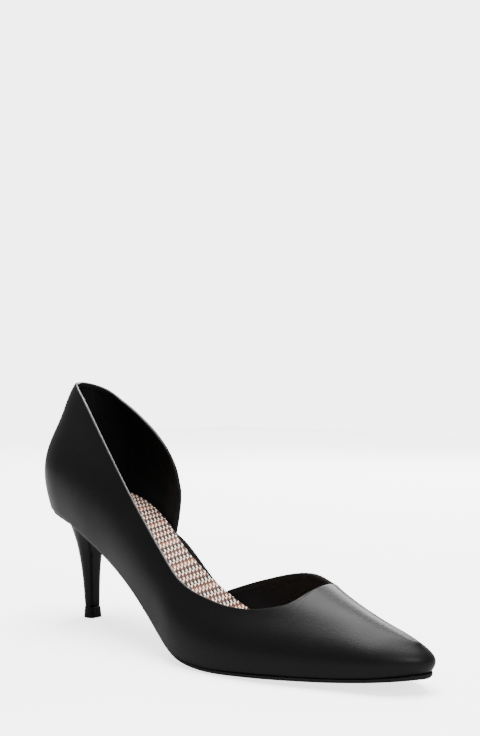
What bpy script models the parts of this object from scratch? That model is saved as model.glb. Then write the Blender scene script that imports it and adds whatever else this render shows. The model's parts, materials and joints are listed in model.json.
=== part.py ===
"""Half d'Orsay court shoe, right foot: the construction, in Blender 4.5.

The shoe stands on the floor, z = 0. +X runs to the toe, +Y to the medial (inner) side and +Z up.
Every size below is in millimetres, and MM turns it into metres when a mesh is made.
"""

import math
from collections import namedtuple

import bmesh
import bpy
import numpy as np

MM = 0.001
SHOE_COLLECTION = "dorsay_pump"

# Driving dimensions
WALL = 1.6
GAP = 0.3
LAST_LENGTH = 247.0
HEEL_CENTRE = 27.0
TOE_CENTRE = 228.0
BACK_RIDGE = 22.0
TOE_RIDGE_SETBACK = 7.0
THROAT = 193.0
WING_END = 72.0
WING_CORNER = 69.5
VAMP_START = 112.0
BOARD = 3.3
SEAT_PAD = 3.0
SEAT_PAD_END = 42.0
SEAT_PAD_FADE = 32.0
SOCK = 0.9
OUTSOLE_EDGE = 1.0
OUTSOLE_MIDDLE = 2.6
OUTSOLE_GAP = 0.4
HEEL_BREAST = 42.0
TIP_HEIGHT = 6.0

# The origin is on the floor under the middle of the shoe. These are its place in the tables below.
MIDDLE_X = 122.6
MIDDLE_Y = 1.4

# How finely the forms are cut
WALL_ROWS = 13
HEEL_FAN = 8
TOE_FAN = 9
BODY_STEP = 5.0
SOLE_STEP = 9.0
THROAT_APPROACH = 14.0
THROAT_STEPS = 7
VAMP_STEPS = 11
VAMP_GRADING = 1.4
FAN_OUT_START = 150.0
SWELL_FADE = 4

# The last: one row for each section along the foot.
# lateral, medial: half widths of the feather line. feather: its height on the lateral side.
# arch_lift: how much higher it runs on the medial side. crown: height of the top over it.
# crown_shift: how far the crown stands to the medial side. bulge: how far the wall swells out,
# and bulge_reach: how high that swell goes.
Section = namedtuple(
    "Section", "along lateral medial feather arch_lift crown crown_shift bulge bulge_reach"
)
SECTIONS = (
    Section(0.0, 25.5, 24.5, 66.0, 0.0, 74.0, 0.0, 4.9, 52.5),
    Section(27.0, 28.0, 26.5, 61.5, 1.0, 82.0, 0.7, 5.5, 56.5),
    Section(50.0, 28.8, 25.0, 52.5, 4.2, 93.0, 1.2, 5.5, 61.0),
    Section(72.0, 28.8, 19.7, 41.6, 8.0, 99.0, 2.0, 4.7, 61.0),
    Section(94.0, 31.0, 17.0, 29.0, 7.2, 97.0, 3.2, 2.7, 52.5),
    Section(114.0, 34.2, 20.5, 15.7, 4.3, 88.0, 5.0, 1.7, 42.5),
    Section(133.0, 38.0, 31.5, 5.1, 1.5, 77.0, 6.5, 1.9, 35.0),
    Section(152.0, 38.0, 40.5, 2.4, 0.3, 63.0, 7.3, 1.9, 30.5),
    Section(174.0, 33.8, 36.8, 2.9, 0.0, 47.6, 6.7, 2.0, 27.0),
    Section(197.0, 25.5, 27.2, 3.9, 0.0, 35.0, 5.3, 2.1, 25.5),
    Section(219.0, 15.6, 22.2, 5.3, 0.0, 24.8, 5.0, 2.4, 22.0),
    Section(235.0, 8.3, 20.2, 7.3, 0.0, 17.2, 5.9, 2.7, 17.0),
    Section(247.0, 0.7, 20.0, 8.7, 0.0, 10.5, 8.4, 3.0, 12.0),
)

# The top edges, as heights over the feather line. Round the back of the heel the place runs on
# below 0, to CENTRE_BACK at the middle of the back.
Edge = namedtuple("Edge", "along height")
CENTRE_BACK = -6.0
LATERAL_TOPLINE = (
    Edge(CENTRE_BACK, 68.8),
    Edge(10.0, 69.6),
    Edge(27.0, 69.2),
    Edge(42.0, 64.6),
    Edge(57.0, 58.2),
    Edge(73.0, 51.2),
    Edge(92.0, 43.3),
    Edge(107.0, 39.2),
    Edge(122.0, 36.2),
    Edge(137.0, 33.7),
    Edge(152.0, 31.0),
    Edge(165.0, 28.6),
    Edge(176.0, 28.0),
    Edge(184.0, 29.4),
    Edge(189.0, 30.6),
)
WING_TOPLINE = (
    Edge(CENTRE_BACK, 68.8),
    Edge(10.0, 67.0),
    Edge(27.0, 62.9),
    Edge(42.0, 57.8),
    Edge(57.0, 51.1),
    Edge(65.0, 45.4),
    Edge(WING_CORNER, 38.0),
    Edge(WING_END, 27.0),
)
VAMP_EDGE = (
    Edge(VAMP_START, 3.2),
    Edge(119.0, 12.0),
    Edge(127.0, 21.2),
    Edge(137.0, 29.2),
    Edge(147.0, 33.4),
    Edge(157.0, 35.6),
    Edge(167.0, 36.0),
    Edge(177.0, 35.0),
    Edge(185.0, 34.4),
    Edge(189.0, 34.4),
)

# The heel: one row for each ring. follow: 1 keeps the ring parallel to the seat, at drop under
# it, and 0 keeps it level, at level over the floor.
Ring = namedtuple("Ring", "follow drop level back front half_width")
HEEL_RINGS = (
    Ring(1.00, 0.3, 0.0, 1.2, 42.0, 25.6),
    Ring(1.00, 2.6, 0.0, 1.8, 41.6, 24.8),
    Ring(0.95, 5.5, 55.0, 3.8, 38.2, 18.6),
    Ring(0.80, 8.0, 52.5, 5.6, 34.2, 13.4),
    Ring(0.55, 11.0, 50.5, 7.2, 30.3, 10.2),
    Ring(0.25, 14.0, 47.5, 8.3, 27.4, 8.8),
    Ring(0.00, 0.0, 42.5, 10.7, 25.7, 7.2),
    Ring(0.00, 0.0, 36.0, 12.6, 25.0, 6.2),
    Ring(0.00, 0.0, 28.0, 14.5, 24.7, 5.2),
    Ring(0.00, 0.0, 18.0, 16.1, 24.6, 4.6),
    Ring(0.00, 0.0, TIP_HEIGHT + GAP, 17.3, 24.9, 4.2),
)
TIP_RINGS = (
    Ring(0.00, 0.0, TIP_HEIGHT, 17.1, 25.3, 4.4),
    Ring(0.00, 0.0, 2.0, 16.8, 25.8, 4.7),
    Ring(0.00, 0.0, 0.0, 16.6, 26.1, 4.9),
)
SEAT_SHIFT = -0.7
RING_ARC_POINTS = 13
RING_ROUND_SHARE = 0.62
BREAST_WIDTH_AT_SEAT = 0.97
BREAST_WIDTH_OF_STEM = 0.72
BREAST_INNER_POINTS = 0.34

# How far each sole layer stands outside the feather line (negative: inside), by place.
Ledge = namedtuple("Ledge", "along lateral medial")
OUTSOLE_LEDGE = (
    Ledge(0.0, -1.0, -1.0),
    Ledge(105.0, -1.0, -0.6),
    Ledge(135.0, 0.1, 0.1),
    Ledge(155.0, 0.6, 0.6),
    Ledge(250.0, 0.7, 0.7),
)
BOARD_LEDGE = (
    Ledge(0.0, -2.1, -2.1),
    Ledge(75.0, -2.1, -2.1),
    Ledge(81.0, -2.1, 0.4),
    Ledge(92.0, -2.1, 0.2),
    Ledge(100.0, -2.1, -0.9),
    Ledge(107.0, -2.1, -2.1),
    Ledge(250.0, -2.2, -2.2),
)
SOCK_LEDGE = (
    Ledge(0.0, -2.2, -2.2),
    Ledge(74.0, -2.2, -2.3),
    Ledge(80.0, -2.2, -4.2),
    Ledge(102.0, -2.2, -4.2),
    Ledge(111.0, -2.2, -2.4),
    Ledge(250.0, -2.5, -2.5),
)
TREAD_START = 146.0
TREAD_END = 184.0
TREAD_WIDTH_SHARE = 0.6

Finish = namedtuple("Finish", "name colour roughness metallic")
LEATHER = Finish("black_leather", (0.022, 0.021, 0.022, 1.0), 0.42, 0.0)
LINING = Finish("wrapped_board", (0.018, 0.017, 0.018, 1.0), 0.6, 0.0)
CHECK_CLOTH = Finish("check_cloth", (0.55, 0.42, 0.34, 1.0), 0.85, 0.0)
SOLE = Finish("sole_rubber", (0.02, 0.02, 0.02, 1.0), 0.55, 0.0)
TOP_PIECE = Finish("top_piece", (0.025, 0.025, 0.025, 1.0), 0.5, 0.0)


def smooth_through(places, values, x):
    """Cubic curve through the given places, with slopes taken from their neighbours."""
    places = np.asarray(places, float)
    values = np.asarray(values, float)
    x = np.asarray(x, float)
    slopes = np.gradient(values, places)
    left = np.clip(np.searchsorted(places, x) - 1, 0, len(places) - 2)
    span = places[left + 1] - places[left]
    t = (x - places[left]) / span
    start = (2 * t**3 - 3 * t**2 + 1) * values[left] + (t**3 - 2 * t**2 + t) * span * slopes[left]
    end = (3 * t**2 - 2 * t**3) * values[left + 1] + (t**3 - t**2) * span * slopes[left + 1]
    return start + end


def last(column, x):
    """The named column of SECTIONS at the place x along the foot."""
    return smooth_through(
        [row.along for row in SECTIONS], [getattr(row, column) for row in SECTIONS], x
    )


def edge_height(edge, x):
    """Height of a top edge over the feather line at x."""
    return float(smooth_through([row.along for row in edge], [row.height for row in edge], x))


def stations(body):
    """Places along the foot, with a fan round the heel and one round the toe.

    body: the places between the two fans.
    Returns the place on the feather line, the place on the crown and the share of the full
    width at each station.
    """
    heel_turn = np.linspace(math.pi / 2, 0, HEEL_FAN)[:-1]
    toe_turn = np.linspace(0, math.pi / 2, TOE_FAN)[1:]
    heel = HEEL_CENTRE * (1 - np.sin(heel_turn))
    heel_crown = HEEL_CENTRE - (HEEL_CENTRE - BACK_RIDGE) * np.sin(heel_turn)
    toe = TOE_CENTRE + (LAST_LENGTH - TOE_CENTRE) * np.sin(toe_turn)
    toe_end = LAST_LENGTH - TOE_RIDGE_SETBACK
    toe_crown = TOE_CENTRE + (toe_end - TOE_CENTRE) * np.sin(toe_turn)
    place = np.concatenate([heel, body, toe])
    crown = np.concatenate([heel_crown, body, toe_crown])
    share = np.concatenate([np.cos(heel_turn), np.ones(len(body)), np.cos(toe_turn)])
    share[[0, -1]] = 0.0
    return place, crown, share


def feather_sides(place, share):
    """Lateral and medial y of the feather line."""
    lateral = -last("lateral", place)
    medial = last("medial", place)
    middle = (lateral + medial) / 2
    half = (medial - lateral) / 2 * share
    return middle - half, middle + half


def feather_surface(x, y):
    """Height of the surface that spans the feather line, twisted by the arch lift."""
    x = np.clip(x, 0, LAST_LENGTH)
    lateral = -last("lateral", x)
    medial = last("medial", x)
    across = np.clip((y - lateral) / (medial - lateral), 0, 1)
    return last("feather", x) + last("arch_lift", x) * across


def fan_out(x):
    """How far the wall's rows have spread to their places over the vamp, from 0 to 1."""
    t = min(max((x - FAN_OUT_START) / (THROAT - FAN_OUT_START), 0.0), 1.0)
    return t * t * (3 - 2 * t)


class Wall:
    """The skin of the last, from the feather line up to a top edge or to the crown."""

    def __init__(self):
        body = np.arange(HEEL_CENTRE, THROAT - THROAT_APPROACH, BODY_STEP)
        ends = np.array([WING_CORNER, WING_END, VAMP_START])
        body = np.array([x for x in body if np.abs(ends - x).min() > 1.5])
        left_to_throat = np.linspace(1, 0, THROAT_STEPS + 1)[1:] ** 2
        into_throat = THROAT - (THROAT - body[-1]) * left_to_throat
        over_vamp = THROAT + (TOE_CENTRE - THROAT) * np.linspace(0, 1, VAMP_STEPS + 1)[1:] ** VAMP_GRADING
        body = np.sort(np.concatenate([body, ends, into_throat, over_vamp]))
        self.place, self.crown_place, self.share = stations(body)
        self.lateral, self.medial = feather_sides(self.place, self.share)
        self.feather = last("feather", self.place)
        self.lift = last("arch_lift", self.place)
        crown_top = last("crown", self.crown_place) + last("feather", self.crown_place)
        self.crown = crown_top - self.feather
        self.shift = last("crown_shift", self.crown_place)
        self.bulge = last("bulge", self.place)
        self.reach = np.minimum(last("bulge_reach", self.place), self.crown)

    def wrapped(self, i):
        """Place of station i measured round the back of the heel."""
        if self.place[i] >= HEEL_CENTRE:
            return self.place[i]
        turn = math.sqrt(1 - self.share[i] ** 2)
        return HEEL_CENTRE - (HEEL_CENTRE - CENTRE_BACK) * turn

    def climb(self, i, edge):
        """Angle up the wall at which the top edge runs at station i."""
        x = self.wrapped(i)
        last_knot = edge[-1].along
        if x <= last_knot:
            return math.asin(min(edge_height(edge, x) / self.crown[i], 1.0))
        crown_there = np.interp(last_knot, self.place, self.crown)
        start = math.asin(edge[-1].height / crown_there)
        along = (x - last_knot) / (THROAT - last_knot)
        return start + (math.pi / 2 - start) * (1 - math.sqrt(max(0.0, 1 - along)))

    def top_angle(self, i, side):
        """Angle of the wall's end at station i, or None where the side is open."""
        x = self.place[i]
        if x >= THROAT - 1e-6:
            return math.pi / 2
        if side == "lateral":
            return self.climb(i, LATERAL_TOPLINE)
        if x <= WING_END + 1e-6:
            return self.climb(i, WING_TOPLINE)
        if x < VAMP_START - 1e-6:
            return None
        return self.climb(i, VAMP_EDGE)

    def column(self, i, side):
        """Points up the wall at station i, or None where the side is open."""
        end = self.top_angle(i, side)
        if end is None:
            return None
        share = np.linspace(0, 1, WALL_ROWS)
        guide = end + (math.pi / 2 - end) * fan_out(self.place[i])
        angle = guide * share - (guide - end) * share**2
        foot = np.array([self.place[i], getattr(self, side)[i]])
        ridge = np.array([self.crown_place[i], self.shift[i]])
        outward = foot - ridge
        outward_unit = outward / np.linalg.norm(outward)
        height = self.crown[i] * np.sin(angle)
        risen = np.clip(height / self.reach[i], 0, 1)
        swell = self.bulge[i] * np.sin(math.pi * risen) * (1 - risen**SWELL_FADE)
        plan = ridge + np.outer(np.cos(angle), outward) + np.outer(swell, outward_unit)
        base = self.feather[i] + (self.lift[i] if side == "medial" else 0.0)
        rise = (self.crown[i] + self.feather[i] - base) / self.crown[i]
        return np.column_stack([plan, base + height * rise])


def make_material(finish):
    """A Principled material with the finish's colour, roughness and metallic value."""
    material = bpy.data.materials.get(finish.name) or bpy.data.materials.new(finish.name)
    material.use_nodes = True
    shader = material.node_tree.nodes["Principled BSDF"]
    shader.inputs["Base Color"].default_value = finish.colour
    shader.inputs["Roughness"].default_value = finish.roughness
    shader.inputs["Metallic"].default_value = finish.metallic
    return material


def add_object(name, mesh_data, finish, collection):
    """Turns a bmesh in millimetres into a named object in metres, about the origin."""
    bmesh.ops.remove_doubles(mesh_data, verts=mesh_data.verts, dist=1e-3)
    bmesh.ops.translate(mesh_data, vec=(-MIDDLE_X, -MIDDLE_Y, 0), verts=mesh_data.verts)
    bmesh.ops.scale(mesh_data, vec=(MM, MM, MM), verts=mesh_data.verts)
    mesh = bpy.data.meshes.new(name)
    mesh_data.to_mesh(mesh)
    mesh_data.free()
    mesh.materials.append(make_material(finish))
    obj = bpy.data.objects.new(name, mesh)
    collection.objects.link(obj)
    return obj


def skin_columns(mesh_data, columns, flip):
    """Quads between neighbouring columns of points."""
    rows = [[mesh_data.verts.new(point) for point in column] for column in columns]
    for one, other in zip(rows[:-1], rows[1:]):
        for low in range(len(one) - 1):
            corners = [one[low], other[low], other[low + 1], one[low + 1]]
            mesh_data.faces.new(corners[::-1] if flip else corners)


def build_upper(collection):
    """The upper: the wall's skin, thickened inwards by Solidify."""
    wall = Wall()
    mesh_data = bmesh.new()
    for side in ("lateral", "medial"):
        run = []
        for i in range(len(wall.place)):
            column = wall.column(i, side)
            if column is not None:
                run.append(column)
            if column is None or i == len(wall.place) - 1:
                if len(run) > 1:
                    skin_columns(mesh_data, run, flip=side == "medial")
                run = []
    upper = add_object("upper", mesh_data, LEATHER, collection)
    thickness = upper.modifiers.new("wall", "SOLIDIFY")
    thickness.thickness = WALL * MM
    thickness.offset = -1.0
    thickness.use_even_offset = False
    thickness.use_quality_normals = True
    return upper


def ledge_at(ledges, side, x):
    """How far a layer stands outside the feather line at x."""
    places = [row.along for row in ledges]
    return np.interp(x, places, [getattr(row, side) for row in ledges])


def layer_rows(ledges, start, across_points):
    """Rows of plan points across a sole layer, from the lateral to the medial edge.

    Returns the points, and how near each is to the layer's edge, from 0 to 1.
    """
    body = np.arange(HEEL_CENTRE, TOE_CENTRE + 0.1, SOLE_STEP)
    if start > 0:
        body = np.concatenate([[start], body[body > start + 2]])
    body = np.append(body[body < TOE_CENTRE - 2], TOE_CENTRE)
    place, _, share = stations(body)
    keep = place >= start - 1e-6
    place, share = place[keep], share[keep]
    lateral, medial = feather_sides(place, share)
    sides = []
    for name, y, outward in (("lateral", lateral, -1.0), ("medial", medial, 1.0)):
        dx = np.gradient(place)
        dy = np.gradient(y)
        length = np.hypot(dx, dy)
        step = ledge_at(ledges, name, place)
        tip = share == 0
        normal_x = np.where(tip, np.where(place < HEEL_CENTRE, -1.0, 1.0), -outward * dy / length)
        normal_y = np.where(tip, 0.0, outward * dx / length)
        x = place + step * normal_x
        if start > 0:
            x[0] = start
        sides.append(np.column_stack([x, y + step * normal_y]))
    across = np.linspace(0, 1, across_points)
    points = sides[0][:, None] * (1 - across)[:, None] + sides[1][:, None] * across[:, None]
    edge_nearness = 1 - (1 - np.abs(2 * across - 1)) * share[:, None]
    return points, edge_nearness


def build_layer(name, ledges, start, across_points, bottom, top, finish, collection):
    """A closed sole layer between two surfaces, over the outline that the ledges give."""
    plan, edge_nearness = layer_rows(ledges, start, across_points)
    low = np.dstack([plan, bottom(plan[..., 0], plan[..., 1], edge_nearness)])
    high = np.dstack([plan, top(plan[..., 0], plan[..., 1])])
    mesh_data = bmesh.new()
    under = [[mesh_data.verts.new(point) for point in row] for row in low]
    over = [[mesh_data.verts.new(point) for point in row] for row in high]
    for i in range(len(plan) - 1):
        for j in range(across_points - 1):
            mesh_data.faces.new([under[i][j], under[i][j + 1], under[i + 1][j + 1], under[i + 1][j]])
            mesh_data.faces.new([over[i][j], over[i + 1][j], over[i + 1][j + 1], over[i][j + 1]])
        mesh_data.faces.new([under[i][0], under[i + 1][0], over[i + 1][0], over[i][0]])
        mesh_data.faces.new([under[i + 1][-1], under[i][-1], over[i][-1], over[i + 1][-1]])
    for j in range(across_points - 1):
        mesh_data.faces.new([under[0][j + 1], under[0][j], over[0][j], over[0][j + 1]])
        mesh_data.faces.new([under[-1][j], under[-1][j + 1], over[-1][j + 1], over[-1][j]])
    bmesh.ops.remove_doubles(mesh_data, verts=mesh_data.verts, dist=1e-3)
    bmesh.ops.dissolve_degenerate(mesh_data, edges=mesh_data.edges, dist=1e-3)
    return add_object(name, mesh_data, finish, collection)


def board_top(x, y):
    """Top of the insole board, which is thicker under the heel."""
    fade = np.clip((x - SEAT_PAD_END) / SEAT_PAD_FADE, 0, 1)
    pad = SEAT_PAD * (1 - fade * fade * (3 - 2 * fade))
    return feather_surface(x, y) + BOARD + pad


def outsole_bottom(x, y, edge_nearness):
    """Tread: flat on the floor under the ball, thinner at its edges, and following the shank."""
    thickness = OUTSOLE_MIDDLE - (OUTSOLE_MIDDLE - OUTSOLE_EDGE) * edge_nearness**3
    height = feather_surface(x, y) - OUTSOLE_GAP - thickness
    on_tread = (x > TREAD_START) & (x < TREAD_END) & (edge_nearness < TREAD_WIDTH_SHARE)
    return np.where(on_tread, 0.0, np.maximum(height, 0.0))


def ring_outline(ring):
    """Plan points of a heel ring: a round back, short straight sides and a flat breast."""
    depth = ring.front - ring.back
    centre = ring.back + depth * RING_ROUND_SHARE
    turn = np.linspace(-math.pi / 2, math.pi / 2, RING_ARC_POINTS)
    shift = SEAT_SHIFT * ring.follow
    arc = [
        (centre - (centre - ring.back) * math.cos(a), shift + ring.half_width * math.sin(a))
        for a in turn
    ]
    width_share = BREAST_WIDTH_OF_STEM + (BREAST_WIDTH_AT_SEAT - BREAST_WIDTH_OF_STEM) * ring.follow
    breast = ring.half_width * width_share
    across = (1.0, BREAST_INNER_POINTS, -BREAST_INNER_POINTS, -1.0)
    return arc + [(ring.front, shift + breast * t) for t in across]


def ring_height(ring, x, y):
    """Height of a ring's point: it follows the seat near the top and is level lower down."""
    seat = float(feather_surface(x, y)) - ring.drop
    return ring.follow * seat + (1 - ring.follow) * ring.level


def build_heel_piece(name, rings, finish, collection):
    """A loft through heel rings, closed at both ends."""
    mesh_data = bmesh.new()
    loops = []
    for ring in rings:
        outline = ring_outline(ring)
        loops.append([mesh_data.verts.new((x, y, ring_height(ring, x, y))) for x, y in outline])
    count = len(loops[0])
    for upper_loop, lower_loop in zip(loops[:-1], loops[1:]):
        for k in range(count):
            n = (k + 1) % count
            mesh_data.faces.new([upper_loop[k], upper_loop[n], lower_loop[n], lower_loop[k]])
    caps = [mesh_data.faces.new(loops[0]), mesh_data.faces.new(loops[-1][::-1])]
    bmesh.ops.triangulate(mesh_data, faces=caps)
    bmesh.ops.recalc_face_normals(mesh_data, faces=mesh_data.faces)
    return add_object(name, mesh_data, finish, collection)


def clear_scene():
    """Removes the startup objects."""
    for obj in list(bpy.data.objects):
        bpy.data.objects.remove(obj, do_unlink=True)


def main():
    clear_scene()
    collection = bpy.data.collections.new(SHOE_COLLECTION)
    bpy.context.scene.collection.children.link(collection)
    build_upper(collection)
    build_layer(
        "outsole",
        OUTSOLE_LEDGE,
        HEEL_BREAST + GAP,
        9,
        outsole_bottom,
        lambda x, y: feather_surface(x, y) - OUTSOLE_GAP,
        SOLE,
        collection,
    )
    build_layer(
        "insole",
        BOARD_LEDGE,
        0.0,
        6,
        lambda x, y, _: feather_surface(x, y),
        board_top,
        LINING,
        collection,
    )
    build_layer(
        "sock_lining",
        SOCK_LEDGE,
        0.0,
        6,
        lambda x, y, _: board_top(x, y) + GAP,
        lambda x, y: board_top(x, y) + GAP + SOCK,
        CHECK_CLOTH,
        collection,
    )
    build_heel_piece("heel", HEEL_RINGS, LEATHER, collection)
    build_heel_piece("heel_tip", TIP_RINGS, TOP_PIECE, collection)


main()
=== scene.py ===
"""The looks of a half d'Orsay court shoe, right foot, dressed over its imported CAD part.

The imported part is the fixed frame: +X runs to the toe, +Y to the medial side and +Z up, in metres,
with the origin on the floor under the middle of the shoe. Each visible piece is a finer, dressed
copy of its CAD node.
"""

import json
import logging
import math
from dataclasses import dataclass
from enum import Enum

import bmesh
import bpy
import numpy as np
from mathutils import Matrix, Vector
from mathutils.kdtree import KDTree

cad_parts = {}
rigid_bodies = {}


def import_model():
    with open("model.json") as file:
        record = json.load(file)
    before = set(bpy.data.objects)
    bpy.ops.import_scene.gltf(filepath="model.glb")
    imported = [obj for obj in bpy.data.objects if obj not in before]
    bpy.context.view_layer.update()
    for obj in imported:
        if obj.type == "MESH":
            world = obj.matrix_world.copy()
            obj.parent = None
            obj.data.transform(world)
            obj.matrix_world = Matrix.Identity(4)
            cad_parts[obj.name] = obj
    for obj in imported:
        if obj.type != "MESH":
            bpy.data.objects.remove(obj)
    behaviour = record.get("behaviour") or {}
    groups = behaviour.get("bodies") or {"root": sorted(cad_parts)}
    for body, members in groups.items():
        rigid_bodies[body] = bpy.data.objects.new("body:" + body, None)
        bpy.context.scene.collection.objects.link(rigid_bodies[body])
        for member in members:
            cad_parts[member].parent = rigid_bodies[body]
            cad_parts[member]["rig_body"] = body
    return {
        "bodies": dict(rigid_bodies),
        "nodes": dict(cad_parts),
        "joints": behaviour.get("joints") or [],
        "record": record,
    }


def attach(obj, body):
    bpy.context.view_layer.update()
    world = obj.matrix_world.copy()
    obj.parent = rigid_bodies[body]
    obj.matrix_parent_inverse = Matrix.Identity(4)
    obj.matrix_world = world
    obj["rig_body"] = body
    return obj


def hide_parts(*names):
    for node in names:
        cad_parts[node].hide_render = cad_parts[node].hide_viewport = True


LOG = logging.getLogger("court_shoe")
BODY = "root"
MM = 0.001
DISPLAY_GAMMA = 2.2
Colour = tuple[float, float, float, float]
Point = tuple[float, float, float]
WHITE: Colour = (1.0, 1.0, 1.0, 1.0)

# Names that the meshes and the materials share
SOCK_CHART = "cloth_chart"
EDGE_DISTANCE = "edge_distance"

# Leather grain: how round its cells are, noise scales in cells to the metre, and shares of height
GRAIN_ROUNDING = 0.35
PORE_CELLS = 2600.0
HIDE_WAVE_CELLS = 90.0
GRAIN_SHARE = 0.7
PORE_SHARE = 0.3

# Handling wear: scales in cells to the metre, then the ranges of noise that show
HANDLED_CELLS = 28.0
SPECK_CELLS = 700.0
DUST_RANGE = (0.64, 0.76)
GLOSS_SHIFT_RANGE = (0.3, 0.7)

# Houndstooth, in shares of one repeat
SQUARE_SIDE = 0.56
STREAK_LEAN = 0.5
STREAK_START = 0.55
STREAK_WIDTH = 0.37

# Twill: threads in a repeat of the check, threads in a repeat of the twill, and how many of these
# the warp covers, less a hair so that a whole number isn't counted twice
THREADS_A_TOOTH = 8.0
TWILL_THREADS = 4.0
WARP_COVERS = 1.999

# Copies of CAD nodes: what is merged, what becomes a quad, and the normal that looks up
MERGE_WITHIN = 0.01 * MM
PAIR_FACES_WITHIN = math.radians(50)
PAIR_SHAPES_WITHIN = math.radians(60)
LOOKS_UP = 0.5


class Slot(Enum):
    """The record's material slots."""

    UPPER = "black_leather"
    BOARD = "wrapped_board"
    CLOTH = "check_cloth"
    SOLE = "sole_rubber"
    TIP = "top_piece"


class Mixed(Enum):
    """What a Mix node mixes: its data type, its two inputs' places and its result's place."""

    NUMBER = ("FLOAT", 2, 3, 0)
    COLOUR = ("RGBA", 6, 7, 2)


class Socket(Enum):
    """The kinds of socket that the node groups have."""

    NUMBER = "NodeSocketFloat"
    COLOUR = "NodeSocketColor"
    PLACE = "NodeSocketVector"


def linear(red: float, green: float, blue: float) -> Colour:
    """A display colour from 0 to 1 as the linear colour that shaders take.

    Args:
        red: display value of red.
        green: display value of green.
        blue: display value of blue.

    Returns:
        The linear colour with full alpha.
    """
    red, green, blue = (channel**DISPLAY_GAMMA for channel in (red, green, blue))
    return (red, green, blue, 1.0)


def paler(colour: Colour, times: float) -> Colour:
    """A colour made lighter.

    Args:
        colour: the linear colour.
        times: how many times as light it gets.

    Returns:
        The lighter colour with full alpha.
    """
    return tuple(times * channel for channel in colour[:3]) + (1.0,)


# Node groups


class Graph:
    """Adds and links nodes of one tree with few words."""

    def __init__(self, tree: bpy.types.NodeTree) -> None:
        """Keeps the tree that nodes are added to."""
        self.tree = tree

    def node(self, kind: str, **values: object) -> bpy.types.Node:
        """Adds a node and sets its properties.

        Args:
            kind: the node's type name.
            values: properties of the node by name.

        Returns:
            The new node.
        """
        made = self.tree.nodes.new(kind)
        for name, value in values.items():
            setattr(made, name, value)
        return made

    def feed(self, target: bpy.types.NodeSocket, source: object) -> None:
        """Links a socket to another, or sets it to a plain value.

        Args:
            target: the input socket.
            source: an output socket, or a value.
        """
        if isinstance(source, bpy.types.NodeSocket):
            self.tree.links.new(source, target)
        else:
            target.default_value = source

    def group(self, tree: bpy.types.NodeTree, **takes: object) -> bpy.types.NodeOutputs:
        """Places a node group.

        Args:
            tree: the group.
            takes: sockets or values by the names of the group's inputs.

        Returns:
            The group's outputs.
        """
        made = self.node("ShaderNodeGroup", node_tree=tree)
        for label, source in takes.items():
            self.feed(made.inputs[label], source)
        return made.outputs

    def maths(self, operation: str, *inputs: object) -> bpy.types.NodeSocket:
        """A Math node's result.

        Args:
            operation: the operation's name.
            inputs: sockets or numbers, in order.

        Returns:
            The result's socket.
        """
        made = self.node("ShaderNodeMath", operation=operation)
        for socket, source in zip(made.inputs, inputs):
            self.feed(socket, source)
        return made.outputs[0]

    def blend(
        self, share: object, first: object, second: object, kind: Mixed = Mixed.COLOUR
    ) -> bpy.types.NodeSocket:
        """Mixes two colours or two numbers.

        Args:
            share: how much of the second, from 0 to 1.
            first: colour, number or socket.
            second: colour, number or socket.
            kind: which of the two is mixed.

        Returns:
            The mixture's socket.
        """
        data_type, first_place, second_place, result_place = kind.value
        made = self.node("ShaderNodeMix", data_type=data_type)
        self.feed(made.inputs["Factor"], share)
        self.feed(made.inputs[first_place], first)
        self.feed(made.inputs[second_place], second)
        return made.outputs[result_place]

    def remap(
        self, value: object, low: float, high: float, to_low: float, to_high: float
    ) -> bpy.types.NodeSocket:
        """A Map Range node's result, clamped.

        Args:
            value: the socket that is mapped.
            low: start of the range that it comes from.
            high: end of that range.
            to_low: result at low.
            to_high: result at high.

        Returns:
            The result's socket.
        """
        made = self.node("ShaderNodeMapRange")
        for socket, source in zip(made.inputs, (value, low, high, to_low, to_high)):
            self.feed(socket, source)
        return made.outputs[0]

    def noise(
        self, place: object, scale: float, detail: float = 2.0, roughness: float = 0.5
    ) -> bpy.types.NodeSocket:
        """A noise texture's value.

        Args:
            place: the coordinates' socket.
            scale: cells to the metre.
            detail: octaves.
            roughness: weight of the fine octaves.

        Returns:
            The value's socket.
        """
        made = self.node("ShaderNodeTexNoise")
        self.feed(made.inputs["Vector"], place)
        self.feed(made.inputs["Scale"], scale)
        self.feed(made.inputs["Detail"], detail)
        self.feed(made.inputs["Roughness"], roughness)
        return made.outputs["Fac"]

    def bump(
        self, height: object, strength: float, depth: float, over: object = None
    ) -> bpy.types.NodeSocket:
        """A Bump node's normal.

        Args:
            height: the height's socket, from 0 to 1.
            strength: how much of the relief shows, from 0 to 1.
            depth: how deep the relief is, in metres.
            over: the normal that it lies on, or None for the surface's own.

        Returns:
            The normal's socket.
        """
        made = self.node("ShaderNodeBump")
        made.inputs["Strength"].default_value = strength
        made.inputs["Distance"].default_value = depth
        self.feed(made.inputs["Height"], height)
        if over is not None:
            self.feed(made.inputs["Normal"], over)
        return made.outputs["Normal"]


def new_group(
    name: str, takes: dict[str, Socket], gives: dict[str, Socket]
) -> tuple[Graph, bpy.types.NodeOutputs, bpy.types.NodeInputs]:
    """Starts a shader node group.

    Args:
        name: the group's name.
        takes: the kinds of its inputs by name.
        gives: the kinds of its outputs by name.

    Returns:
        The group's graph, its inputs' sockets by name and its outputs' sockets by name.
    """
    tree = bpy.data.node_groups.new(name, "ShaderNodeTree")
    for label, kind in takes.items():
        tree.interface.new_socket(label, in_out="INPUT", socket_type=kind.value)
    for label, kind in gives.items():
        tree.interface.new_socket(label, in_out="OUTPUT", socket_type=kind.value)
    graph = Graph(tree)
    start = graph.node("NodeGroupInput")
    end = graph.node("NodeGroupOutput")
    return graph, start.outputs, end.inputs


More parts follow.
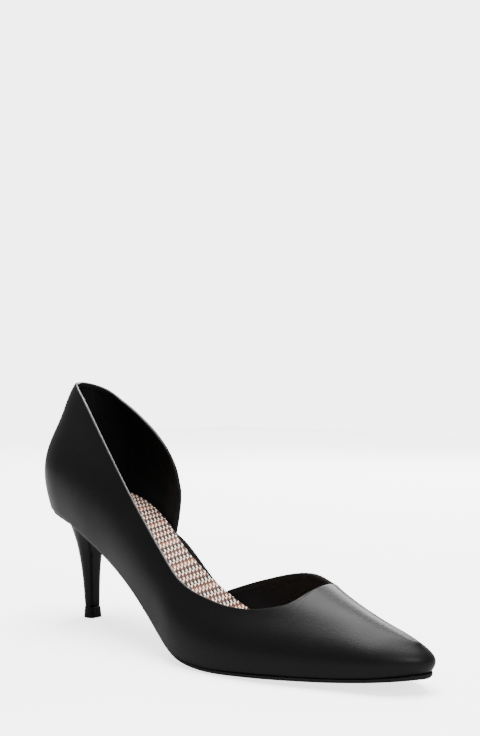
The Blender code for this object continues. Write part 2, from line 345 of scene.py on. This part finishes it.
def build_grain_group() -> bpy.types.NodeTree:
    """Fine leather grain: small rounded cells with pores between them, and slow waves of the hide.

    Returns:
        The group, with a height from 0 to 1 and a slow mottle from 0 to 1.
    """
    graph, takes, gives = new_group(
        "leather_grain",
        {"Place": Socket.PLACE, "Cells": Socket.NUMBER},
        {"Height": Socket.NUMBER, "Mottle": Socket.NUMBER},
    )
    cells = graph.node("ShaderNodeTexVoronoi", feature="SMOOTH_F1")
    graph.feed(cells.inputs["Vector"], takes["Place"])
    graph.feed(cells.inputs["Scale"], takes["Cells"])
    graph.feed(cells.inputs["Smoothness"], GRAIN_ROUNDING)
    rounded = graph.maths("SUBTRACT", 1.0, cells.outputs["Distance"])
    pores = graph.noise(takes["Place"], PORE_CELLS)
    height = graph.maths(
        "ADD",
        graph.maths("MULTIPLY", rounded, GRAIN_SHARE),
        graph.maths("MULTIPLY", pores, PORE_SHARE),
    )
    graph.feed(gives["Height"], height)
    graph.feed(gives["Mottle"], graph.noise(takes["Place"], HIDE_WAVE_CELLS, detail=3.0))
    return graph.tree


def build_wear_group() -> bpy.types.NodeTree:
    """Slow uneven gloss of a handled surface, with faint dust.

    Returns:
        The group, with a gloss shift and a dust mask, both from 0 to 1.
    """
    graph, takes, gives = new_group(
        "handling_wear",
        {"Place": Socket.PLACE},
        {"Gloss shift": Socket.NUMBER, "Dust": Socket.NUMBER},
    )
    handled = graph.noise(takes["Place"], HANDLED_CELLS, detail=3.0, roughness=0.6)
    specks = graph.noise(takes["Place"], SPECK_CELLS, detail=3.0, roughness=0.7)
    graph.feed(gives["Gloss shift"], handled)
    graph.feed(gives["Dust"], graph.remap(specks, *DUST_RANGE, 0.0, 1.0))
    return graph.tree


def build_tooth_group() -> bpy.types.NodeTree:
    """A houndstooth check over a two-by-two twill. Each repeat has a dark square and a slanted pale
    streak beside it, and the rest is brown teeth. The squares are black, brown, black and tan by
    turns along the foot.

    Returns:
        The group, with the cloth's colour and the height of its threads.
    """
    graph, takes, gives = new_group(
        "houndstooth_weave",
        {
            "Across": Socket.NUMBER,
            "Along": Socket.NUMBER,
            "Cream": Socket.COLOUR,
            "Black": Socket.COLOUR,
            "Brown": Socket.COLOUR,
            "Tan": Socket.COLOUR,
        },
        {"Color": Socket.COLOUR, "Height": Socket.NUMBER},
    )
    along = graph.maths("FRACT", takes["Along"])
    across = graph.maths("FRACT", takes["Across"])
    square = graph.maths(
        "MULTIPLY",
        graph.maths("LESS_THAN", along, SQUARE_SIDE),
        graph.maths("LESS_THAN", across, SQUARE_SIDE),
    )
    slant = graph.maths("ADD", along, graph.maths("MULTIPLY", across, STREAK_LEAN))
    streak = graph.maths(
        "MULTIPLY",
        graph.maths("GREATER_THAN", slant, STREAK_START),
        graph.maths("LESS_THAN", slant, STREAK_START + STREAK_WIDTH),
    )
    pale = graph.maths("MULTIPLY", streak, graph.maths("SUBTRACT", 1.0, square))
    row = graph.maths("FLOOR", takes["Along"])
    odd_row = graph.maths("GREATER_THAN", graph.maths("FLOORED_MODULO", row, 2.0), 0.5)
    fourth_row = graph.maths("GREATER_THAN", graph.maths("FLOORED_MODULO", row, 4.0), 2.5)
    warm = graph.blend(fourth_row, takes["Brown"], takes["Tan"])
    dye = graph.blend(odd_row, takes["Black"], warm)
    ground = graph.blend(square, takes["Brown"], dye)
    graph.feed(gives["Color"], graph.blend(pale, ground, takes["Cream"]))
    graph.feed(gives["Height"], twill_height(graph, takes["Across"], takes["Along"]))
    return graph.tree


def twill_height(graph: Graph, across: object, along: object) -> bpy.types.NodeSocket:
    """The rounded threads of a two-by-two twill.

    Args:
        graph: the graph of the weave's group.
        across: repeats of the check across the foot.
        along: repeats of the check along the foot.

    Returns:
        The socket of the threads' height, from 0 to 1.
    """
    threads = [graph.maths("MULTIPLY", run, THREADS_A_TOOTH) for run in (across, along)]
    crowns = []
    for thread in threads:
        centred = graph.maths("SUBTRACT", graph.maths("FRACT", thread), 0.5)
        fall = graph.maths("MULTIPLY", graph.maths("MULTIPLY", centred, centred), 4.0)
        crowns.append(graph.maths("SUBTRACT", 1.0, fall))
    step = graph.maths("ADD", *(graph.maths("FLOOR", thread) for thread in threads))
    turn = graph.maths("FLOORED_MODULO", step, TWILL_THREADS)
    warp_on_top = graph.maths("LESS_THAN", turn, WARP_COVERS)
    return graph.blend(warp_on_top, crowns[1], crowns[0], Mixed.NUMBER)


# Finishes


def new_material(name: str) -> tuple[bpy.types.Material, Graph, bpy.types.Node]:
    """Starts a material.

    Args:
        name: the material's name.

    Returns:
        The material, its graph and its shader.
    """
    material = bpy.data.materials.new(name)
    material.use_nodes = True
    return material, Graph(material.node_tree), material.node_tree.nodes["Principled BSDF"]


@dataclass(frozen=True)
class Leather:
    """A finished leather: its colour, gloss and grain. A fold above 0 is the width of the band that
    is turned in along the top edge, in metres.
    """

    name: str
    colour: Colour
    roughness: float
    gloss: float = 0.14
    cells: float = 1500.0
    grain_strength: float = 0.22
    grain_depth: float = 0.2 * MM
    mottle: float = 1.35
    dust: float = 0.012
    dust_colour: Colour = (0.3, 0.28, 0.26, 1.0)
    handled_smoother: float = 0.04
    handled_rougher: float = 0.06
    fold: float = 0.0
    fold_edge: float = 0.15 * MM
    fold_depth: float = 0.6 * MM
    fold_colour: Colour = (0.006, 0.0062, 0.0066, 1.0)

    def make(self, groups: dict[str, bpy.types.NodeTree]) -> bpy.types.Material:
        """Builds the material.

        Args:
            groups: the shared node groups by name.

        Returns:
            The material.
        """
        material, graph, shader = new_material(self.name)
        place = graph.node("ShaderNodeTexCoord").outputs["Object"]
        grain = graph.group(groups["grain"], Place=place, Cells=self.cells)
        wear = graph.group(groups["wear"], Place=place)
        colour = graph.blend(grain["Mottle"], self.colour, paler(self.colour, self.mottle))
        colour = graph.blend(
            graph.maths("MULTIPLY", wear["Dust"], self.dust), colour, self.dust_colour
        )
        normal = graph.bump(grain["Height"], self.grain_strength, self.grain_depth)
        if self.fold > 0:
            edge = graph.node("ShaderNodeAttribute", attribute_name=EDGE_DISTANCE).outputs["Fac"]
            start, end = self.fold - self.fold_edge, self.fold + self.fold_edge
            band = graph.remap(edge, start, end, 1.0, 0.0)
            colour = graph.blend(band, colour, self.fold_colour)
            normal = graph.bump(band, 1.0, self.fold_depth, over=normal)
        graph.feed(shader.inputs["Base Color"], colour)
        graph.feed(shader.inputs["Normal"], normal)
        low, high = self.roughness - self.handled_smoother, self.roughness + self.handled_rougher
        roughness = graph.remap(wear["Gloss shift"], *GLOSS_SHIFT_RANGE, low, high)
        graph.feed(shader.inputs["Roughness"], roughness)
        shader.inputs["Specular IOR Level"].default_value = self.gloss
        return material


@dataclass(frozen=True)
class CheckCloth:
    """The sock's houndstooth cloth."""

    name: str
    pitch_across: float = 2.5 * MM
    pitch_along: float = 4.3 * MM
    cream: Colour = linear(0.97, 0.86, 0.78)
    black: Colour = linear(0.05, 0.04, 0.04)
    brown: Colour = linear(0.27, 0.15, 0.11)
    tan: Colour = linear(0.44, 0.25, 0.16)
    roughness: float = 0.85
    thread_strength: float = 0.5
    thread_depth: float = 0.3 * MM

    def make(self, groups: dict[str, bpy.types.NodeTree]) -> bpy.types.Material:
        """Builds the material, on the cloth's own UV map in metres.

        Args:
            groups: the shared node groups by name.

        Returns:
            The material.
        """
        material, graph, shader = new_material(self.name)
        chart = graph.node("ShaderNodeSeparateXYZ")
        graph.feed(
            chart.inputs["Vector"], graph.node("ShaderNodeUVMap", uv_map=SOCK_CHART).outputs["UV"]
        )
        weave = graph.group(
            groups["tooth"],
            Across=graph.maths("MULTIPLY", chart.outputs["X"], 1.0 / self.pitch_across),
            Along=graph.maths("MULTIPLY", chart.outputs["Y"], 1.0 / self.pitch_along),
            Cream=self.cream,
            Black=self.black,
            Brown=self.brown,
            Tan=self.tan,
        )
        threads = graph.bump(weave["Height"], self.thread_strength, self.thread_depth)
        graph.feed(shader.inputs["Base Color"], weave["Color"])
        graph.feed(shader.inputs["Normal"], threads)
        shader.inputs["Roughness"].default_value = self.roughness
        return material


@dataclass(frozen=True)
class SoleRubber:
    """Moulded sole material with a fine matt surface."""

    name: str
    colour: Colour
    roughness: float
    gloss: float = 0.15
    mottle: float = 1.8
    handled_rougher: float = 0.12
    texture_cells: float = 1800.0
    texture_strength: float = 0.25
    texture_depth: float = 0.3 * MM

    def make(self, groups: dict[str, bpy.types.NodeTree]) -> bpy.types.Material:
        """Builds the material.

        Args:
            groups: the shared node groups by name.

        Returns:
            The material.
        """
        material, graph, shader = new_material(self.name)
        place = graph.node("ShaderNodeTexCoord").outputs["Object"]
        shift = graph.group(groups["wear"], Place=place)["Gloss shift"]
        colour = graph.blend(shift, self.colour, paler(self.colour, self.mottle))
        low, high = self.roughness, self.roughness + self.handled_rougher
        texture = graph.noise(place, self.texture_cells)
        normal = graph.bump(texture, self.texture_strength, self.texture_depth)
        graph.feed(shader.inputs["Base Color"], colour)
        graph.feed(shader.inputs["Roughness"], graph.remap(shift, *GLOSS_SHIFT_RANGE, low, high))
        graph.feed(shader.inputs["Normal"], normal)
        shader.inputs["Specular IOR Level"].default_value = self.gloss
        return material


@dataclass(frozen=True)
class Finishes:
    """The shoe's finishes."""

    leather: Leather = Leather("smooth_black_leather", (0.0028, 0.0027, 0.0028, 1.0), 0.36)
    heel_leather: Leather = Leather("heel_cover_leather", (0.0028, 0.0027, 0.0028, 1.0), 0.36)
    lining: Leather = Leather(
        "black_lining",
        (0.0030, 0.0033, 0.0037, 1.0),
        0.55,
        cells=1100.0,
        grain_strength=0.2,
        dust=0.005,
        fold=3.0 * MM,
    )
    wrap: Leather = Leather("black_board_wrap", (0.0018, 0.0018, 0.0018, 1.0), 0.8, gloss=0.02)
    cloth: CheckCloth = CheckCloth("houndstooth_cloth")
    rubber: SoleRubber = SoleRubber("black_sole_rubber", (0.003, 0.003, 0.003, 1.0), 0.5)
    top_piece: SoleRubber = SoleRubber("black_top_piece", (0.004, 0.004, 0.004, 1.0), 0.42)

    def make(self) -> dict[str, bpy.types.Material]:
        """Builds the materials over their shared node groups.

        Returns:
            The materials by the names of this class's fields.
        """
        groups = {
            "grain": build_grain_group(),
            "wear": build_wear_group(),
            "tooth": build_tooth_group(),
        }
        return {label: finish.make(groups) for label, finish in vars(self).items()}


# Modelling


@dataclass(frozen=True)
class Smoothing:
    """How the copy of a CAD node is made finer. Edges bent more than an angle in degrees keep a
    crease, and a lift in metres closes the solids' clearance to the piece above.
    """

    sharper_than: float
    crease: float
    lift: float = 0.0
    levels: int = 2

    def apply(self, obj: bpy.types.Object) -> None:
        """Closes, creases, subdivides and smooths a piece.

        Args:
            obj: the mesh object.
        """
        self.close_up(obj)
        self.crease_edges(obj)
        only(obj)
        modifier = obj.modifiers.new("smooth", "SUBSURF")
        modifier.levels = self.levels
        modifier.render_levels = self.levels
        bpy.ops.object.modifier_apply(modifier=modifier.name)
        bpy.ops.object.shade_smooth()

    def close_up(self, obj: bpy.types.Object) -> None:
        """Raises the faces that look up.

        Args:
            obj: the mesh object.
        """
        faces = [face for face in obj.data.polygons if face.normal.z > LOOKS_UP]
        for corner in {corner for face in faces for corner in face.vertices}:
            obj.data.vertices[corner].co.z += self.lift

    def crease_edges(self, obj: bpy.types.Object) -> None:
        """Gives a subdivision crease to the sharp edges.

        Args:
            obj: the mesh object.
        """
        mesh = bmesh.new()
        mesh.from_mesh(obj.data)
        layers = mesh.edges.layers.float
        layer = layers.get("crease_edge") or layers.new("crease_edge")
        limit = math.radians(self.sharper_than)
        for edge in mesh.edges:
            if len(edge.link_faces) == 2 and edge.calc_face_angle(0.0) > limit:
                edge[layer] = self.crease
        mesh.to_mesh(obj.data)
        mesh.free()


def only(obj: bpy.types.Object) -> None:
    """Deselects everything, then selects one object and makes it active.

    Args:
        obj: the object.
    """
    bpy.ops.object.select_all(action="DESELECT")
    obj.select_set(True)
    bpy.context.view_layer.objects.active = obj


def copy_of_node(frame: dict, node: str, name: str) -> bpy.types.Object:
    """A merged copy of a CAD node, as quads where its triangles pair up.

    Args:
        node: the CAD node's name.
        name: the copy's name.

    Returns:
        The copy, with outward faces.
    """
    obj = bpy.data.objects.new(name, frame["nodes"][node].data.copy())
    obj.data.name = name
    bpy.context.scene.collection.objects.link(obj)
    obj.data.materials.clear()
    if obj.data.has_custom_normals:
        obj.data.attributes.remove(obj.data.attributes["custom_normal"])
    only(obj)
    bpy.ops.object.mode_set(mode="EDIT")
    bpy.ops.mesh.select_all(action="SELECT")
    bpy.ops.mesh.remove_doubles(threshold=MERGE_WITHIN)
    bpy.ops.mesh.tris_convert_to_quads(
        face_threshold=PAIR_FACES_WITHIN, shape_threshold=PAIR_SHAPES_WITHIN
    )
    bpy.ops.mesh.normals_make_consistent(inside=False)
    bpy.ops.object.mode_set(mode="OBJECT")
    return obj


def wear_piece(
    obj: bpy.types.Object, slot: Slot, nodes: tuple[str, ...], *materials: bpy.types.Material
) -> None:
    """Dresses a finished piece and ties it to the frame.

    Args:
        obj: the piece.
        slot: the record's material slot that the log names for it.
        nodes: the CAD nodes that it stands for.
        materials: its materials, in slot order.
    """
    for material in materials:
        obj.data.materials.append(material)
    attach(obj, BODY)
    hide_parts(*nodes)
    LOG.info("%s: %d faces, slot %s", obj.name, len(obj.data.polygons), slot.value)


@dataclass
class Upper:
    """The leather upper with its black lining. An edge is a top edge where it bends more than
    edge_bend in degrees and no face beside it looks down. The heart is the point inside the shoe
    that the lining faces.
    """

    smoothing: Smoothing = Smoothing(50.0, 0.6)
    edge_bend: float = 40.0
    looks_down: float = -0.6
    steps_an_edge: int = 8
    heart_share: float = 0.9
    heart_height: float = 15.0 * MM

    def build(
        self, frame: dict, leather: bpy.types.Material, lining: bpy.types.Material
    ) -> bpy.types.Object:
        """Copies the CAD upper, smooths it and parts the lining from the leather.

        Args:
            leather: the outer material.
            lining: the inner material.

        Returns:
            The upper.
        """
        obj = copy_of_node(frame, "upper", "upper_leather")
        edge = self.top_edge(obj)
        self.smoothing.apply(obj)
        distance = obj.data.attributes.new(EDGE_DISTANCE, "FLOAT", "POINT")
        distances = [edge.find(vertex.co)[2] for vertex in obj.data.vertices]
        distance.data.foreach_set("value", distances)
        wear_piece(obj, Slot.UPPER, ("upper",), leather, lining)
        self.line_inside(obj)
        return obj

    def top_edge(self, obj: bpy.types.Object) -> KDTree:
        """The top edge as close points, to measure the folded band from.

        Args:
            obj: the upper, before it is smoothed.

        Returns:
            A search tree of the points.
        """
        mesh = bmesh.new()
        mesh.from_mesh(obj.data)
        points = []
        limit = math.radians(self.edge_bend)
        for edge in mesh.edges:
            bent = len(edge.link_faces) == 2 and edge.calc_face_angle(0.0) > limit
            if bent and min(face.normal.z for face in edge.link_faces) > self.looks_down:
                start, end = (vertex.co for vertex in edge.verts)
                shares = (step / self.steps_an_edge for step in range(self.steps_an_edge + 1))
                points += [start.lerp(end, share) for share in shares]
        mesh.free()
        tree = KDTree(len(points))
        for number, point in enumerate(points):
            tree.insert(point, number)
        tree.balance()
        return tree

    def line_inside(self, obj: bpy.types.Object) -> None:
        """Gives the faces that look into the shoe the lining.

        Args:
            obj: the upper.
        """
        for face in obj.data.polygons:
            heart = Vector((face.center.x * self.heart_share, 0.0, self.heart_height))
            face.material_index = 1 if (face.center - heart).dot(face.normal) < 0 else 0


@dataclass
class Bottom:
    """The outsole, the wrapped insole board and the check sock."""

    sole_smoothing: Smoothing = Smoothing(40.0, 0.75, lift=0.38 * MM)
    layer_smoothing: Smoothing = Smoothing(40.0, 0.6)
    chart_step: float = 4.0 * MM
    chart_reach: float = 5.0 * MM

    def outsole(self, frame: dict, rubber: bpy.types.Material) -> bpy.types.Object:
        """The thin sole with its ledge.

        Args:
            rubber: its material.

        Returns:
            The sole.
        """
        obj = copy_of_node(frame, "outsole", "sole_unit")
        self.sole_smoothing.apply(obj)
        wear_piece(obj, Slot.SOLE, ("outsole",), rubber)
        return obj

    def board(self, frame: dict, wrap: bpy.types.Material) -> bpy.types.Object:
        """The insole board in its black wrap.

        Args:
            wrap: its material.

        Returns:
            The board.
        """
        obj = copy_of_node(frame, "insole", "wrapped_insole_board")
        self.layer_smoothing.apply(obj)
        wear_piece(obj, Slot.BOARD, ("insole",), wrap)
        return obj

    def sock(self, frame: dict, cloth: bpy.types.Material) -> bpy.types.Object:
        """The check cloth sock.

        Args:
            cloth: its material.

        Returns:
            The sock.
        """
        obj = copy_of_node(frame, "sock_lining", "houndstooth_sock")
        self.layer_smoothing.apply(obj)
        self.chart(obj)
        wear_piece(obj, Slot.CLOTH, ("sock_lining",), cloth)
        return obj

    def chart(self, obj: bpy.types.Object) -> None:
        """Lays a UV map in metres over the sock, along its own curve from heel to toe.

        Args:
            obj: the sock.
        """
        mesh = obj.data
        points = np.array([vertex.co[:] for vertex in mesh.vertices])
        forward, up = points[:, 0], points[:, 2]
        stations = np.arange(forward.min(), forward.max() + self.chart_step, self.chart_step)
        heights = np.array([up[np.abs(forward - x) < self.chart_reach].mean() for x in stations])
        run = np.concatenate([[0.0], np.cumsum(np.hypot(np.diff(stations), np.diff(heights)))])
        along = np.interp(forward, stations, run)
        layer = mesh.uv_layers.new(name=SOCK_CHART)
        for loop in mesh.loops:
            corner = loop.vertex_index
            layer.data[loop.index].uv = (points[corner, 1], along[corner])


@dataclass
class Heel:
    """The covered heel and its top piece."""

    block_smoothing: Smoothing = Smoothing(38.0, 0.8, lift=0.28 * MM)
    tip_smoothing: Smoothing = Smoothing(38.0, 0.85, lift=0.15 * MM)

    def block(self, frame: dict, leather: bpy.types.Material) -> bpy.types.Object:
        """The leather-covered heel.

        Args:
            leather: its material.

        Returns:
            The heel.
        """
        obj = copy_of_node(frame, "heel", "covered_heel")
        self.block_smoothing.apply(obj)
        wear_piece(obj, Slot.UPPER, ("heel",), leather)
        return obj

    def tip(self, frame: dict, rubber: bpy.types.Material) -> bpy.types.Object:
        """The wearing top piece.

        Args:
            rubber: its material.

        Returns:
            The top piece.
        """
        obj = copy_of_node(frame, "heel_tip", "heel_top_piece")
        self.tip_smoothing.apply(obj)
        wear_piece(obj, Slot.TIP, ("heel_tip",), rubber)
        return obj


# The studio


@dataclass(frozen=True)
class SoftBox:
    """One soft area light, aimed at a point."""

    name: str
    place: Point
    width: float
    height: float
    power: float

    def hang(self, aim: Vector) -> None:
        """Adds the light.

        Args:
            aim: the point that it looks at.
        """
        data = bpy.data.lights.new(self.name, "AREA")
        data.shape = "RECTANGLE"
        data.size = self.width
        data.size_y = self.height
        data.energy = self.power
        light = bpy.data.objects.new(self.name, data)
        light.location = self.place
        light.rotation_euler = (aim - Vector(self.place)).to_track_quat("-Z", "Y").to_euler()
        light.visible_camera = False
        bpy.context.scene.collection.objects.link(light)


@dataclass
class Studio:
    """The pale floor, the soft lights and the camera. The floor and the air are brighter for the
    camera alone, so that they show as white and don't flood the shoe.
    """

    floor_size: float = 3.6
    floor_roughness: float = 0.9
    floor_lit: Colour = (0.4, 0.4, 0.4, 1.0)
    floor_seen: Colour = (0.95, 0.95, 0.95, 1.0)
    glow: float = 2.2
    room: float = 0.4
    backdrop: float = 5.0
    aim: Point = (0.0, 0.0, 40.0 * MM)
    boxes: tuple[SoftBox, ...] = (
        SoftBox("overhead", (-0.3, 0.3, 4.0), 3.7, 2.8, 570.0),
        SoftBox("behind", (-0.5, 1.1, 0.75), 0.8, 0.5, 18.0),
        SoftBox("toe_side", (1.2, -0.35, 0.8), 0.5, 0.5, 10.0),
    )
    eye: Point = (0.39744, -0.38594, 0.13736)
    gaze: Point = (-0.7021, 0.7120, 0.0087)
    lens: float = 52.98
    sensor: float = 36.0

    def floor(self) -> None:
        """Lays the plain pale floor under the shoe."""
        bpy.ops.object.select_all(action="DESELECT")
        bpy.ops.mesh.primitive_plane_add(size=self.floor_size, location=(0, 0, 0))
        plane = bpy.context.active_object
        plane.name = "studio_floor"
        material, graph, shader = new_material("pale_floor")
        shader.inputs["Roughness"].default_value = self.floor_roughness
        shader.inputs["Specular IOR Level"].default_value = 0.0
        shader.inputs["Emission Color"].default_value = WHITE
        seen = graph.node("ShaderNodeLightPath").outputs["Is Camera Ray"]
        glow = graph.maths("MULTIPLY", seen, self.glow)
        graph.feed(shader.inputs["Emission Strength"], glow)
        graph.feed(shader.inputs["Base Color"], graph.blend(seen, self.floor_lit, self.floor_seen))
        plane.data.materials.append(material)

    def lights(self) -> None:
        """Hangs the soft boxes and sets the even room light."""
        for box in self.boxes:
            box.hang(Vector(self.aim))
        world = bpy.data.worlds.new("studio_air")
        world.use_nodes = True
        air = world.node_tree.nodes["Background"]
        air.inputs["Color"].default_value = WHITE
        graph = Graph(world.node_tree)
        seen = graph.node("ShaderNodeLightPath").outputs["Is Camera Ray"]
        graph.feed(air.inputs["Strength"], graph.remap(seen, 0.0, 1.0, self.room, self.backdrop))
        bpy.context.scene.world = world

    def camera(self) -> None:
        """Sets the camera at the photograph's viewing angle."""
        data = bpy.data.cameras.new("photo_camera")
        data.lens = self.lens
        data.sensor_width = self.sensor
        camera = bpy.data.objects.new("photo_camera", data)
        camera.location = self.eye
        camera.rotation_euler = Vector(self.gaze).to_track_quat("-Z", "Y").to_euler()
        bpy.context.scene.collection.objects.link(camera)
        bpy.context.scene.camera = camera


def main() -> None:
    """Builds the shoe's pieces over the frame, then the studio."""
    logging.basicConfig(level=logging.INFO, format="%(name)s %(message)s")
    for obj in [o for o in bpy.data.objects if "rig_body" not in o and o.type != "EMPTY"]:
        bpy.data.objects.remove(obj, do_unlink=True)
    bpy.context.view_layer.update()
    finish = Finishes().make()
    Upper().build(FRAME, finish["leather"], finish["lining"])
    bottom = Bottom()
    bottom.outsole(FRAME, finish["rubber"])
    bottom.board(FRAME, finish["wrap"])
    bottom.sock(FRAME, finish["cloth"])
    heel = Heel()
    heel.block(FRAME, finish["heel_leather"])
    heel.tip(FRAME, finish["top_piece"])
    studio = Studio()
    studio.floor()
    studio.lights()
    studio.camera()


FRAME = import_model()

if __name__ == "__main__":
    main()
